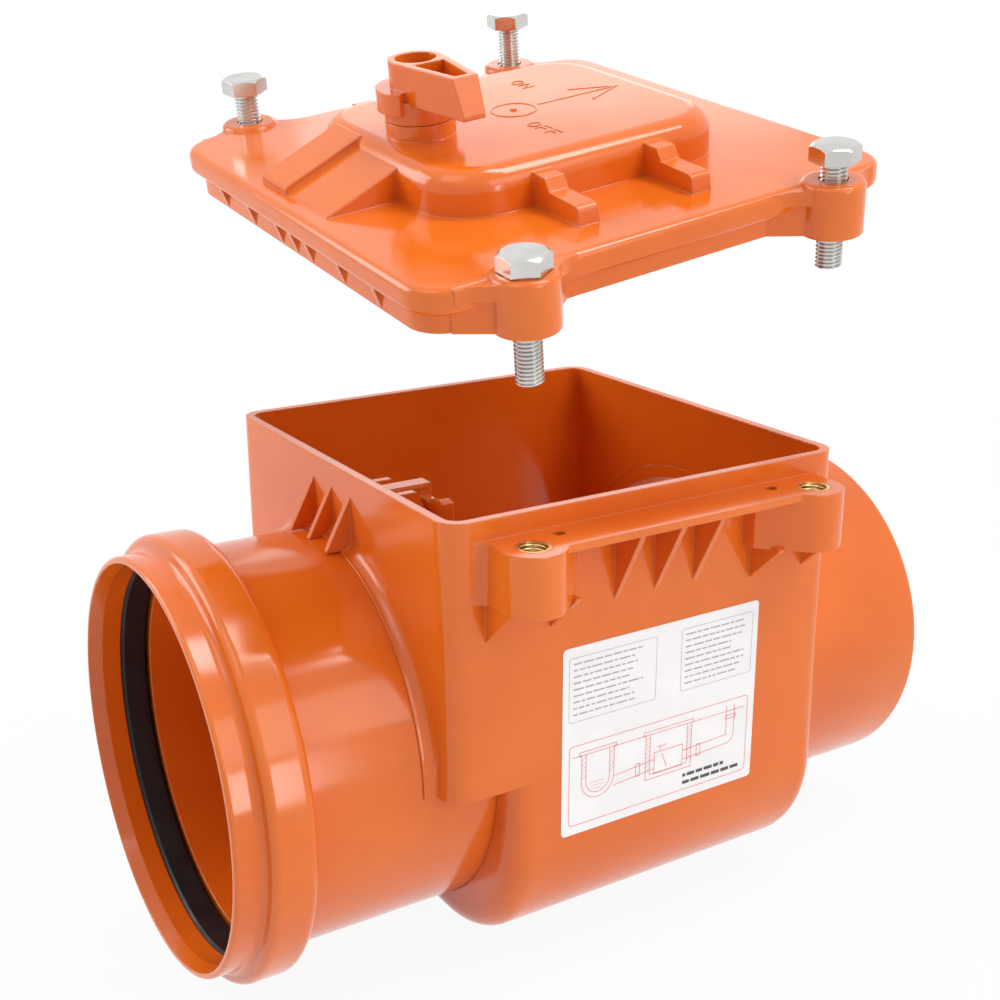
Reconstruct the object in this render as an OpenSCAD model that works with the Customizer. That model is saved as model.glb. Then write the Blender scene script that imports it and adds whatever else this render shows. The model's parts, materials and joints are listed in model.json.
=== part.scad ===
// Backwater valve for buried drains: a moulded chamber between an inlet socket and an outlet spigot,
// with a hinged flap inside and a bolted inspection cover that carries the locking lever.
// X runs with the flow, Z is up, and the origin is the pipe stop in the inlet socket, on the pipe axis.
// The cover is drawn lifted off and tipped forward, with its bolts standing loosely in their holes.

/* [Pipe] */
// Outside diameter of the drain pipe
pipe_d = 160; // [156:1:164]
// Wall of the outlet spigot and of the bore behind the pipe stop
pipe_wall = 4; // [3.4:0.1:4.6]
// Radial room between the pipe and the guide bore of the socket
socket_clearance = 0.5; // [0.3:0.1:0.8]

/* [Inlet socket] */
// Wall of the neck round the guide bore
neck_wall = 3.4; // [3:0.1:4.2]
// Radial room between the guide bore and the inside of the mouth
mouth_flare = 1.5; // [1.3:0.1:3]
// Wall of the mouth ring and of the bead
socket_wall = 4; // [3.6:0.1:4.6]
// Length of the mouth ring
mouth_len = 12; // [10:1:16]
// Height of the bead above the mouth ring
bead_rise = 6.5; // [5.5:0.5:8]
// Length of the bead that houses the seal
bead_len = 19; // [18:1:26]
// Length of the neck from the bead to the pipe stop
guide_len = 72; // [60:1:84]

/* [Chamber] */
// Wall of the chamber
wall = 4; // [3:0.1:5]
// Length of the chamber at the rim
box_len = 190; // [186:1:202]
// Reach of the chamber beyond the neck on each side
side_margin = 12; // [8:0.5:14]
// Depth of the chamber below the outside of the pipe
floor_margin = 6; // [5:0.5:10]
// Height of the rim above the flap hinge
rim_rise = 24; // [22:0.5:28]
// Distance from the pipe stop back to the overhanging wall
overhang_back = 20; // [17:1:23]
// Step from the overhanging wall to the lower inlet wall
overhang_len = 28; // [25:1:31]
// Height of the overhang's underside above the pipe axis
overhang_z = 2; // [-2:1:10]
// Radius of the upright corners
corner_r = 10; // [7:1:14]
// Radius where the sides turn into the floor
floor_r = 57; // [45:1:62]

/* [Flanges] */
// Drop from the rim to the top of the side flanges
flange_drop = 8; // [6:0.5:11]
// Reach of the flange beyond the side wall
flange_w = 20; // [16:1:24]
// Thickness of the flange between the ears
flange_t = 3; // [2:0.5:5]
// Height of the ears that hold the inserts
ear_h = 24; // [21:1:30]
// Radius of the ears
ear_r = 12.5; // [11:0.5:15]
// Distance from the side wall to the bolt line
bolt_offset = 14; // [12:0.5:16]
// Bolt spacing along the flow
bolt_span = 135; // [122:1:142]
// Thickness of the gussets
gusset_t = 2.6; // [2:0.2:4]
// Height of the gussets under the flange
gusset_h = 32; // [24:1:40]

/* [Fasteners] */
// Thread diameter of the cover bolts
bolt_d = 10; // [8:0.5:11]
// Length of the bolts under the head
bolt_len = 40; // [36:1:42]
// Width of the bolt heads across flats
bolt_flats = 17; // [14:0.5:18]
// Height of the bolt heads
bolt_head_h = 6.6; // [5:0.2:8]
// Radial room round a bolt in the cover
bolt_clearance = 0.5; // [0.3:0.1:1]
// Radial room between a bolt and its insert
insert_clearance = 0.3; // [0.2:0.05:0.4]
// Wall of the brass inserts
insert_wall = 1.5; // [1.2:0.1:2]
// Length of the brass inserts
insert_len = 16; // [12:1:18]

/* [Flap] */
// Height of the flap hinge above the neck
hinge_rise = 6.6; // [6.2:0.1:8]
// Distance from the pipe stop to the hinge
hinge_x = 6; // [4:0.5:7]
// Diameter of the hinge pin
pin_d = 6; // [5:0.5:7]
// Clear width of the seat opening left inside the bore, on the radius
seat_lip = 4; // [3:0.5:5]
// Thickness of the seat ring
seat_t = 6; // [5:0.5:8]
// Thickness of the flap disc
flap_t = 4; // [3:0.5:5]
// Thickness of the flap's rubber ring
flap_seal_t = 1.7; // [1.4:0.1:2.4]
// Number of screws in the clamp ring
clamp_screws_n = 6; // [4:1:8]

/* [Cover] */
// Angle that the lifted cover is tipped forward by
cover_tip = 13.7; // [10:0.1:16]
// Distance from the cover's centre to the level line that it is lifted about
cover_swing = 470; // [420:5:650]
// Thickness of the cover plate
plate_t = 4.5; // [4:0.5:6]
// Reach of the cover's rounded lip beyond the chamber along the flow
lip_x = 8; // [7:0.5:11]
// Reach of the cover's rounded lip beyond the chamber to the sides
lip_y = 10; // [8:0.5:12]
// Height of the cover's rounded lip
lip_h = 10; // [9:0.5:11]
// Room between the chamber rim and the cover's skirt
skirt_room = 0.8; // [0.5:0.1:1.2]
// Thickness of the skirt
skirt_t = 3.5; // [2.5:0.1:3.8]
// Height of the cover's ears
cover_ear_h = 20; // [17:1:22]
// Radius of the cover's ears
cover_ear_r = 12; // [11:0.5:13]
// Length of the raised middle along the flow
dome_len = 130; // [118:1:138]
// Width of the raised middle
dome_w = 116; // [104:1:124]
// Height of the raised middle above the plate
dome_h = 16.5; // [14:0.5:20]
// Wall of the raised middle
dome_wall = 3.5; // [3:0.1:4.5]

/* [Lever] */
// Distance from the inlet edge of the raised middle to the lever's spindle
spindle_edge = 23; // [20:0.5:26]
// Diameter of the spindle
spindle_d = 10; // [9:0.5:11]
// Radius of the boss under the lever
boss_r = 13.5; // [12:0.5:15]
// Height of the boss above the raised middle
boss_h = 6; // [5:0.5:10]
// Reach of the lever from the spindle to its tip
lever_len = 41; // [34:1:52]
// Height of the lever's grip
lever_h = 14.5; // [14:0.5:18]
// Height of the lever's hub below the grip
hub_h = 7.5; // [6:0.5:12]

/* [Label] */
// Length of the label
label_w = 99; // [80:1:110]
// Height of the label
label_h = 82; // [60:1:84]

/* [Hidden] */
$fn = 96;
over = 1;
seam = 0.1;
running = 0.05;
rest_gap = 0.3;
body_orange = "#e0662b";
rubber_black = "#242628";
steel_grey = "#b9bcc0";
brass_gold = "#c9a35a";
paper_white = "#f4f4f2";

// Pipe run
pipe_r = pipe_d / 2;
bore_r = pipe_r - pipe_wall;
guide_r = pipe_r + socket_clearance;
neck_r = guide_r + neck_wall;
mouth_in_r = guide_r + mouth_flare;
mouth_r = mouth_in_r + socket_wall;
bead_r = mouth_r + bead_rise;
groove_r = bead_r - socket_wall;
bead_x1 = -guide_len;
bead_x0 = bead_x1 - bead_len;
mouth_x = bead_x0 - mouth_len;
groove_x0 = bead_x0 + 2;
groove_x1 = bead_x1 - socket_wall;

// Chamber
half_w = neck_r + side_margin;
box_x0 = -overhang_back;
box_x1 = box_x0 + box_len;
box_mid = (box_x0 + box_x1) / 2;
low_x0 = box_x0 + overhang_len;
seat_x0 = low_x0 + wall;
floor_z = -(pipe_r + floor_margin);
hinge_z = neck_r + hinge_rise;
rim_z = hinge_z + rim_rise;
flange_z = rim_z - flange_drop;
spigot_len = 77;
spigot_collar = 2;
spigot_x1 = box_x1 + spigot_len;
bolt_y = half_w + bolt_offset;
pin_hole_in = 16;
pin_hole_out = 6.5;
pin_hole_r = 2.5;
pin_hole_depth = 10;
gusset_steps = [-78, -49.5, -19.5, 0, 19.5, 49.5, 78];
gusset_outer = 45;
inlet_gusset_y = [-17, 0, 17];
inlet_gusset_h = 21;
inlet_gusset_len = 11;

// Fasteners
bolt_r = bolt_d / 2;
insert_r = bolt_r + insert_clearance;
insert_out_r = insert_r + insert_wall;
bolt_stand = [[0, 6.5], [12.5, 17]];

// Flap and seat
pin_r = pin_d / 2;
seat_r = bore_r - seat_lip;
seat_x1 = seat_x0 + seat_t;
seal_x0 = seat_x1 + rest_gap;
flap_x0 = seal_x0 + flap_seal_t;
flap_x1 = flap_x0 + flap_t;
flap_r = bore_r + 0.5;
clamp_t = 3;
clamp_out_r = seat_r - 2.5;
clamp_in_r = clamp_out_r - 11.5;
clamp_pitch_r = (clamp_out_r + clamp_in_r) / 2;
knuckle_r = pin_r + 2.5;
knuckle_half = 8.6;
cheek_in = knuckle_half + 0.4;
cheek_t = 4;
cheek_out = cheek_in + cheek_t;
arm_rise = 9.5;
arm_top = hinge_z + arm_rise;
arm_x1 = flap_x0 + 5.5;

// Cover, worked out at its seat and lifted afterwards
swing_z = flange_z - 10;
swing_at = [box_mid - cover_swing / sqrt(2), -cover_swing / sqrt(2), swing_z];
cover_foot_z = flange_z + 0.5;
cover_ear_top = cover_foot_z + cover_ear_h;
ear_proud = 1.5;
plate_z0 = rim_z + 2.5;
plate_z1 = cover_ear_top - ear_proud;
lip_z0 = plate_z1 - lip_h;
skirt_z0 = flange_z + 1;
lip_round = 3;
ear_flare = 15;
ear_web_half = 23;
lip_corner_r = corner_r + 6;
skirt_gussets_y = [-66, -39, -13, 0, 13, 39, 66];
dome_z1 = plate_z1 + dome_h;
dome_corner_r = 25;
dome_round = 8;
dome_root = plate_t - 0.4;
gasket_groove = 1.5;
gasket_in = 5;
gasket_land = 3;
spindle_x = box_mid - dome_len / 2 + spindle_edge;
spindle_r = spindle_d / 2;
spindle_bore_r = spindle_r + running;
boss_z = dome_z1 + boss_h;
inner_boss_r = spindle_r + 4;
inner_boss_z = dome_z1 - dome_wall - 8;

// Lever and lock
hub_z0 = boss_z + rest_gap;
grip_z0 = hub_z0 + hub_h;
grip_z1 = grip_z0 + lever_h;
grip_r = 10.5;
grip_wall = 2.6;
tip_half = 4.5;
cup_floor = grip_z1 - 9;
drive_r = spindle_r - 0.6;
drive_gap = 0.1;
cam_gap = 0.5;
cam_z0 = arm_top + cam_gap;
cam_t = 5.5;
cam_r = 6.5;
lock_overlap = 6.5;
cam_reach = spindle_x - arm_x1 + lock_overlap;
clip_t = 1;
clip_r = spindle_r + 1.6;
clip_room = 0.6;
clip_z = inner_boss_z - rest_gap - clip_t;
screw_r = 2.5;

// Points on an arc in a profile
function arc(cx, cy, r, a0, a1, n = 6) =
  [for (i = [0:n]) let (a = a0 + (a1 - a0) * i / n) [cx + r * cos(a), cy + r * sin(a)]];

// Bolt position, with side -1 or 1 along X and along Y
function bolt_at(sx, sy) = [box_mid + sx * bolt_span / 2, sy * bolt_y, 0];

// Stands a revolved profile along the pipe axis
module along_x() {
  rotate([0, 90, 0]) children();
}

module rod_x(x0, x1, r) {
  translate([x0, 0, 0]) along_x() cylinder(h = x1 - x0, r = r);
}

module rod_y(x, z, half, r) {
  translate([x, half, z]) rotate([90, 0, 0]) cylinder(h = 2 * half, r = r);
}

// Plate in the XZ plane, drawn as [x, z], centred on y
module plate_xz(y, t) {
  translate([0, y + t / 2, 0]) rotate([90, 0, 0]) linear_extrude(t) children();
}

// Plate in the YZ plane, drawn as [y, z], from x0 to x1
module plate_yz(x0, x1) {
  translate([x0, 0, 0]) rotate([90, 0, 90]) linear_extrude(x1 - x0) children();
}

module both_sides() {
  children();
  mirror([0, 1, 0]) children();
}

// Rectangle with round corners between two X values, centred on Y
module round_plan(x0, x1, half, r) {
  translate([x0 + r, -half]) square([x1 - x0 - 2 * r, 2 * half]);
  translate([x0, -half + r]) square([x1 - x0, 2 * half - 2 * r]);
  for (x = [x0 + r, x1 - r], y = [-half + r, half - r]) translate([x, y]) circle(r);
}

// Upright prism on the chamber's outline, grown by a margin
module box_prism(x0, margin, z0, z1) {
  translate([0, 0, z0]) linear_extrude(z1 - z0)
    round_plan(x0 - margin, box_x1 + margin, half_w + margin, corner_r + margin);
}

// Solid of the chamber's outside at no margin, or of its hollow at a negative one.
// The lower part has its sides rolled into the floor, and soft edges at both ends.
module chamber_solid(margin, top) {
  e = corner_r + margin;
  r = floor_r + margin;
  x0 = low_x0 - margin;
  x1 = box_x1 + margin;
  low = floor_z - margin;
  flat = half_w + margin - r;
  box_prism(box_x0, margin, overhang_z - margin, top);
  box_prism(low_x0, margin, low + r, top);
  for (s = [-1, 1]) translate([x0, s * flat, low + r]) along_x() rotate_extrude()
    soft_half(r, x1 - x0, e, e);
  plate_xz(0, 2 * flat) {
    translate([x0 + e, low]) square([x1 - x0 - 2 * e, r]);
    translate([x0, low + e]) square([x1 - x0, r - e]);
    for (x = [x0 + e, x1 - e]) translate([x, low + e]) circle(e);
  }
}

// Fillet over the top of the neck where it enters the overhanging wall
module neck_fillet() {
  r = 5;
  edge = 0.7;
  root = neck_r + seam;
  flat = half_w - corner_r;
  intersection() {
    along_x() rotate_extrude() polygon(concat(
      [[root, box_x0 + over], [root, box_x0 - r]],
      arc(root + edge + r, box_x0 - r, r, 180, 90, 6),
      [[root + edge + r, box_x0 + over]]
    ));
    translate([box_x0 - r - over, -flat, overhang_z]) cube([r + 3 * over, 2 * flat, rim_z - overhang_z]);
  }
}

// Half profile of a soft-edged slab, rounded at its outer top and bottom edges
module soft_half(reach, h, top, bottom) {
  square([reach - max(top, bottom), h]);
  translate([0, bottom]) square([reach, h - top - bottom]);
  translate([reach - top, h - top]) circle(top);
  translate([reach - bottom, bottom]) circle(bottom);
  translate([0, bottom]) square([reach - top, h - bottom]);
  square([reach - bottom, bottom]);
}

// Slab with round corners in plan and soft edges, standing on z = 0
module soft_slab(len, wid, r, h, top, bottom) {
  for (x = [-1, 1], y = [-1, 1])
    translate([x * (len / 2 - r), y * (wid / 2 - r), 0]) rotate_extrude() soft_half(r, h, top, bottom);
  rotate([90, 0, 90]) translate([0, 0, r - len / 2]) linear_extrude(len - 2 * r)
    for (m = [0, 1]) mirror([m, 0]) soft_half(wid / 2, h, top, bottom);
  rotate([90, 0, 0]) translate([0, 0, r - wid / 2]) linear_extrude(wid - 2 * r)
    for (m = [0, 1]) mirror([m, 0]) soft_half(len / 2, h, top, bottom);
}

// Ear outline round one insert: boss, web to the wall, and a taper that takes the pin hole
module ear_plan(sx) {
  wy = half_w - over;
  fillet = 5;
  circle(ear_r);
  translate([-ear_r, wy - bolt_y]) square([2 * ear_r, bolt_y - wy]);
  mirror([sx > 0 ? 1 : 0, 0]) {
    polygon([
      [0, wy - bolt_y], [24, wy - bolt_y], [24, 7 - bolt_offset], [19, 12.5 - bolt_offset],
      [ear_r * cos(45), ear_r * sin(45)], [0, 0]
    ]);
    difference() {
      translate([-ear_r - fillet, wy - bolt_y]) square([fillet + over, fillet + over]);
      translate([-ear_r - fillet, fillet - bolt_offset]) circle(fillet);
    }
  }
}

// Flange, ears and gussets along the +Y side
module side_flange() {
  translate([box_mid - bolt_span / 2, half_w - over, flange_z - flange_t])
    cube([bolt_span, flange_w + over, flange_t]);
  for (sx = [-1, 1])
    translate(bolt_at(sx, 1) + [0, 0, flange_z - ear_h]) linear_extrude(ear_h) ear_plan(sx);
  for (step = gusset_steps) {
    top = abs(step) > gusset_outer ? flange_z - ear_h : flange_z - flange_t;
    low = abs(step) > gusset_outer ? top - gusset_h / 2 : top - gusset_h;
    translate([box_mid + step, 0, 0]) plate_yz(-gusset_t / 2, gusset_t / 2)
      polygon([
        [half_w - over, top + over], [half_w + flange_w - 3, top + over],
        [half_w + flange_w - 3, top], [half_w, low], [half_w - over, low]
      ]);
  }
}

// Holes for an insert and its locating pin, down from the flange
module ear_holes(sx) {
  translate(bolt_at(sx, 1)) {
    translate([0, 0, flange_z - insert_len]) cylinder(h = insert_len + over, r = insert_out_r + running);
    translate([0, 0, flange_z - ear_h - over]) cylinder(h = ear_h + over, r = bolt_r + bolt_clearance);
    translate([-sx * pin_hole_in, pin_hole_out - bolt_offset, flange_z - pin_hole_depth])
      cylinder(h = pin_hole_depth + over, r = pin_hole_r);
  }
}

module chamber() {
  color(body_orange) difference() {
    union() {
      chamber_solid(0, rim_z);
      neck_fillet();
      both_sides() side_flange();
      for (y = inlet_gusset_y) plate_xz(y, gusset_t)
        polygon([
          [box_x0 + over, neck_r - over], [box_x0 + over, neck_r + inlet_gusset_h],
          [box_x0, neck_r + inlet_gusset_h], [box_x0 - inlet_gusset_len, neck_r],
          [box_x0 - inlet_gusset_len, neck_r - over]
        ]);
    }
    chamber_solid(-wall, rim_z + over);
    rod_x(box_x0 - inlet_gusset_len - over, seat_x0 + 2 * over, neck_r + seam);
    rod_x(box_x1 - wall - over, box_x1 + over, pipe_r + spigot_collar + seam);
    both_sides() for (sx = [-1, 1]) ear_holes(sx);
  }
}

// Mouth ring, bead with the seal groove, guide bore up to the pipe stop and the tail into the chamber
module inlet_socket() {
  soft = 1.6;
  shoulder = 4;
  lead = 3;
  color(body_orange) along_x() rotate_extrude() polygon(concat(
    [[mouth_in_r + lead / 2, mouth_x]],
    arc(mouth_r - soft, mouth_x + soft, soft, -90, 0, 4),
    arc(mouth_r + bead_rise / 2, bead_x0 - bead_rise / 2, bead_rise / 2, 180, 90, 4),
    arc(bead_r - bead_rise / 2, bead_x0 + bead_rise / 2, bead_rise / 2, -90, 0, 4),
    arc(bead_r - shoulder, bead_x1 - shoulder, shoulder, 0, 90, 6),
    [
      [neck_r, bead_x1], [neck_r, seat_x0], [bore_r, seat_x0], [bore_r, 0],
      [guide_r, 0], [guide_r, groove_x1], [groove_r, groove_x1], [groove_r, groove_x0],
      [mouth_in_r, groove_x0], [mouth_in_r, mouth_x + 2 * lead]
    ]
  ));
}

module outlet_spigot() {
  soft = 3;
  collar_out = 2;
  color(body_orange) along_x() rotate_extrude() polygon(concat(
    [
      [bore_r, box_x1 - wall], [pipe_r + spigot_collar, box_x1 - wall],
      [pipe_r + spigot_collar, box_x1], [pipe_r, box_x1 + collar_out]
    ],
    arc(pipe_r - soft, spigot_x1 - soft, soft, 0, 75, 5),
    [[bore_r, spigot_x1]]
  ));
}

// Rubber ring in the bead, its sloping lip ending just clear of the guide bore's line
module lip_seal() {
  room = 0.2;
  lip_r = guide_r + 0.7;
  front_r = (mouth_in_r + lip_r) / 2;
  x0 = groove_x0 + room;
  x1 = groove_x1 - room;
  color(rubber_black) along_x() rotate_extrude() polygon([
    [groove_r - room, x0], [groove_r - room, x1], [lip_r + 3, x1],
    [lip_r, x1 - 2], [lip_r, x1 - 4], [front_r, x0 + 1.5], [front_r + 1, x0]
  ]);
}

// Brass insert with a knurling groove round its middle
module insert(sx, sy) {
  waist = 0.6;
  color(brass_gold) translate(bolt_at(sx, sy) + [0, 0, flange_z - insert_len]) difference() {
    rotate_extrude() polygon([
      [0, 0], [insert_out_r, 0], [insert_out_r, insert_len * 0.4],
      [insert_out_r - waist, insert_len * 0.45], [insert_out_r - waist, insert_len * 0.55],
      [insert_out_r, insert_len * 0.6], [insert_out_r, insert_len], [0, insert_len]
    ]);
    translate([0, 0, -over]) cylinder(h = insert_len + 2 * over, r = insert_r);
  }
}

// Paper label on the flat of the front wall
module label() {
  label_t = 0.3;
  label_r = 2;
  label_x = 5;
  top = flange_z - flange_t - gusset_h - 16;
  color(paper_white) translate([box_mid + label_x, -half_w, top - label_h / 2]) rotate([90, 0, 0])
    linear_extrude(label_t) round_plan(-label_w / 2, label_w / 2, label_h / 2, label_r);
}

// Seat ring with its sleeve in the bore, and two cheeks that carry the hinge pin
module flap_seat() {
  sleeve_len = 8;
  sleeve_r = bore_r - 0.2;
  ring_r = bore_r + 4;
  groove_w = 3;
  cheek_low = neck_r + 1.8;
  root_z = seat_r + 2;
  color(body_orange) difference() {
    union() {
      rod_x(seat_x0 - sleeve_len, seat_x0 + over, sleeve_r);
      rod_x(seat_x0, seat_x1, ring_r);
      for (s = [-1, 1]) plate_xz(s * (cheek_in + cheek_t / 2), cheek_t)
        polygon([
          [seat_x0, root_z], [seat_x1, root_z], [seat_x1, hinge_z], [hinge_x + 7, arm_top],
          [hinge_x - 5, arm_top], [hinge_x - 7, hinge_z], [hinge_x - 5, cheek_low], [seat_x0, cheek_low]
        ]);
      plate_yz(seat_x0, seat_x0 + 2.5)
        translate([-cheek_out, root_z]) square([2 * cheek_out, hinge_z - knuckle_r - 2 - root_z]);
    }
    rod_x(seat_x0 - sleeve_len - over, seat_x1 + over, seat_r);
    along_x() rotate_extrude() translate([sleeve_r - 1.5, seat_x0 - sleeve_len / 2 - groove_w / 2])
      square([3, groove_w]);
    rod_y(hinge_x, hinge_z, cheek_out + over, pin_r + running);
  }
}

module seat_gasket() {
  sleeve_len = 8;
  groove_w = 3;
  room = 0.1;
  color(rubber_black) along_x() rotate_extrude()
    translate([bore_r - 1.7 + room, seat_x0 - sleeve_len / 2 - groove_w / 2 + room])
      square([1.7 - 2 * room, groove_w - 2 * room]);
}

// Stainless pin with a groove near each end for its clip
module hinge_pin() {
  half = cheek_out + 3;
  color(steel_grey) difference() {
    rod_y(hinge_x, hinge_z, half, pin_r);
    for (s = [-1, 1]) translate([hinge_x, s * (cheek_out + 0.9), hinge_z]) rotate([90, 0, 0])
      difference() {
        cylinder(h = 1.2, r = pin_r + over, center = true);
        cylinder(h = 1.4, r = pin_r - 0.6, center = true);
      }
  }
}

module pin_clips() {
  color(steel_grey) for (s = [-1, 1])
    translate([hinge_x, s * (cheek_out + 0.9), hinge_z]) rotate([90, 0, 0]) difference() {
      cylinder(h = 1, r = pin_r + 2.2, center = true);
      cylinder(h = 2, r = pin_r - 0.55, center = true);
      translate([0, -pin_r - 2, 0]) cube([pin_r, 2 * pin_r + 4, 2], center = true);
    }
}

// Screw places round the clamp ring, along the pipe axis
module clamp_places() {
  for (i = [0:clamp_screws_n - 1]) rotate([360 / clamp_screws_n * (i + 0.5), 0, 0])
    translate([0, 0, clamp_pitch_r]) children();
}

// Disc with its stiffening ribs, the hanger plate, the hinge knuckle and the lock arm
module flap() {
  rib_h = 5;
  rib_t = 3;
  rim_w = 4;
  hanger_low = flap_r - 14;
  hanger_x1 = flap_x1 + 1;
  lug_y = -23;
  web_half = 4;
  arm_half = 4.6;
  color(body_orange) difference() {
    union() {
      rod_x(flap_x0, flap_x1, flap_r);
      difference() {
        rod_x(flap_x1 - over, flap_x1 + rib_h - 2, flap_r);
        rod_x(flap_x1 - 2 * over, flap_x1 + rib_h, flap_r - rim_w);
      }
      for (a = [0:60:120]) rotate([a, 0, 0])
        translate([flap_x1 - over, -rib_t / 2, -flap_r + rim_w / 2])
          cube([rib_h + over, rib_t, 2 * flap_r - rim_w]);
      plate_yz(flap_x0, hanger_x1) polygon([
        [lug_y - 9, hanger_low], [lug_y, hinge_z - 8], [lug_y, arm_top - 4], [lug_y + 4, arm_top - 3],
        [-12, arm_top - 4.5], [-12, arm_top - 6], [-web_half, arm_top - 6], [-web_half, arm_top],
        [web_half, arm_top], [web_half, hinge_z], [14, hanger_low]
      ]);
      rod_y(hinge_x, hinge_z, knuckle_half, knuckle_r);
      plate_xz(0, 2 * web_half) polygon([
        [hinge_x, hinge_z - 4], [flap_x0 + over, hinge_z - 4], [flap_x0 + over, arm_top - 2],
        [arm_x1, arm_top - 2], [arm_x1, arm_top - 0.5], [arm_x1 - 1, arm_top], [hinge_x - 3, arm_top],
        [hinge_x - 4, hinge_z]
      ]);
      plate_xz(0, 2 * arm_half) polygon([
        [hinge_x - 3, arm_top - 2], [arm_x1 - 2, arm_top - 2], [arm_x1 - 3, arm_top - 0.6],
        [hinge_x - 2, arm_top - 0.6]
      ]);
    }
    rod_y(hinge_x, hinge_z, knuckle_half + over, pin_r + running);
    clamp_places() rod_x(flap_x0 - over, flap_x1 + rib_h + over, screw_r * 0.6 + running);
  }
}

module flap_seal() {
  color(rubber_black) difference() {
    rod_x(seal_x0, flap_x0, flap_r - 0.5);
    rod_x(seal_x0 - over, flap_x0 + over, clamp_in_r + 2);
    clamp_places() rod_x(seal_x0 - over, flap_x0 + over, screw_r * 0.6 + running);
  }
}

module clamp_ring() {
  color(body_orange) difference() {
    rod_x(seal_x0 - clamp_t, seal_x0, clamp_out_r);
    rod_x(seal_x0 - clamp_t - over, seal_x0 + over, clamp_in_r);
    clamp_places() rod_x(seal_x0 - clamp_t - over, seal_x0 + over, screw_r * 0.6 + running);
  }
}

module clamp_screws() {
  head_h = 1.6;
  color(steel_grey) clamp_places() {
    rod_x(seal_x0 - clamp_t - head_h, seal_x0 - clamp_t, screw_r);
    rod_x(seal_x0 - clamp_t - over, flap_x1, screw_r * 0.6);
  }
}

// Outline that flares from a cover ear into the plate's edge with hollow curves, towards -Y
module ear_flare_plan() {
  edge = bolt_offset - lip_y;
  sink = 0.4;
  dx = sqrt(pow(ear_flare + cover_ear_r, 2) - pow(ear_flare - edge, 2)) - sink;
  part = cover_ear_r / (ear_flare + cover_ear_r);
  difference() {
    polygon([
      [-dx, edge + 2 * lip_round], [dx, edge + 2 * lip_round], [dx, edge],
      [dx * part, (edge - ear_flare) * part], [-dx * part, (edge - ear_flare) * part], [-dx, edge]
    ]);
    for (s = [-1, 1]) translate([s * dx, edge - ear_flare + sink]) circle(ear_flare);
  }
}

// Ear of the cover at one bolt: soft-topped boss, hollow flare above and straight webs below
module cover_ear(sx, sy) {
  split_z = lip_z0 + lip_h / 2 - 1;
  wall_y = bolt_offset - skirt_room - skirt_t / 2;
  translate(bolt_at(sx, sy)) mirror([0, sy > 0 ? 1 : 0, 0]) {
    translate([0, 0, cover_foot_z]) rotate_extrude() soft_half(cover_ear_r, cover_ear_h, 2, 0.6);
    translate([0, 0, split_z]) linear_extrude(plate_z1 - split_z - 0.6) ear_flare_plan();
    translate([0, 0, skirt_z0]) linear_extrude(split_z - skirt_z0) polygon([
      [-ear_web_half, wall_y], [ear_web_half, wall_y], [ear_web_half, wall_y - skirt_t / 2],
      [cover_ear_r - 1, 0], [1 - cover_ear_r, 0], [-ear_web_half, wall_y - skirt_t / 2]
    ]);
  }
}

// Ramp from the raised middle down to the lip on the inlet side, with a rounded foot
module ramp(y0, y1, rise) {
  foot = box_x0 - lip_x + lip_round + 5;
  dome = box_mid - dome_len / 2;
  r = 2;
  plate_xz((y0 + y1) / 2, y1 - y0) polygon(concat(
    [[foot, plate_z1 - over]],
    arc(foot + r, plate_z1 + rise - r, r, 180, 115, 4),
    [[dome + 4, dome_z1 - 4 + rise], [dome + 9, dome_z1 - 4], [dome + 9, plate_z1 - over]]
  ));
}

// Stepped rib on the side of the raised middle, with a rounded end
module step_rib(x) {
  root = dome_w / 2 - 4;
  reach = half_w - 9;
  t = 8.5;
  low = plate_z1 + dome_h - 9.5;
  high = plate_z1 + dome_h - 4;
  r = 2.5;
  translate([x, 0, 0]) plate_yz(-t / 2, t / 2) polygon(concat(
    [[root, plate_z1 - over], [root, high], [root + 11, high - 0.5], [root + 14, low + 0.5]],
    arc(reach - r - 1, low - r, r, 90, 10, 4),
    [[reach, plate_z1 - over]]
  ));
}

// Lifts what is drawn at the cover's seat, tipping it towards the inlet and the label's side
module lifted() {
  translate(swing_at) rotate(a = cover_tip, v = [1, -1, 0]) translate(-swing_at) children();
}

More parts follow.
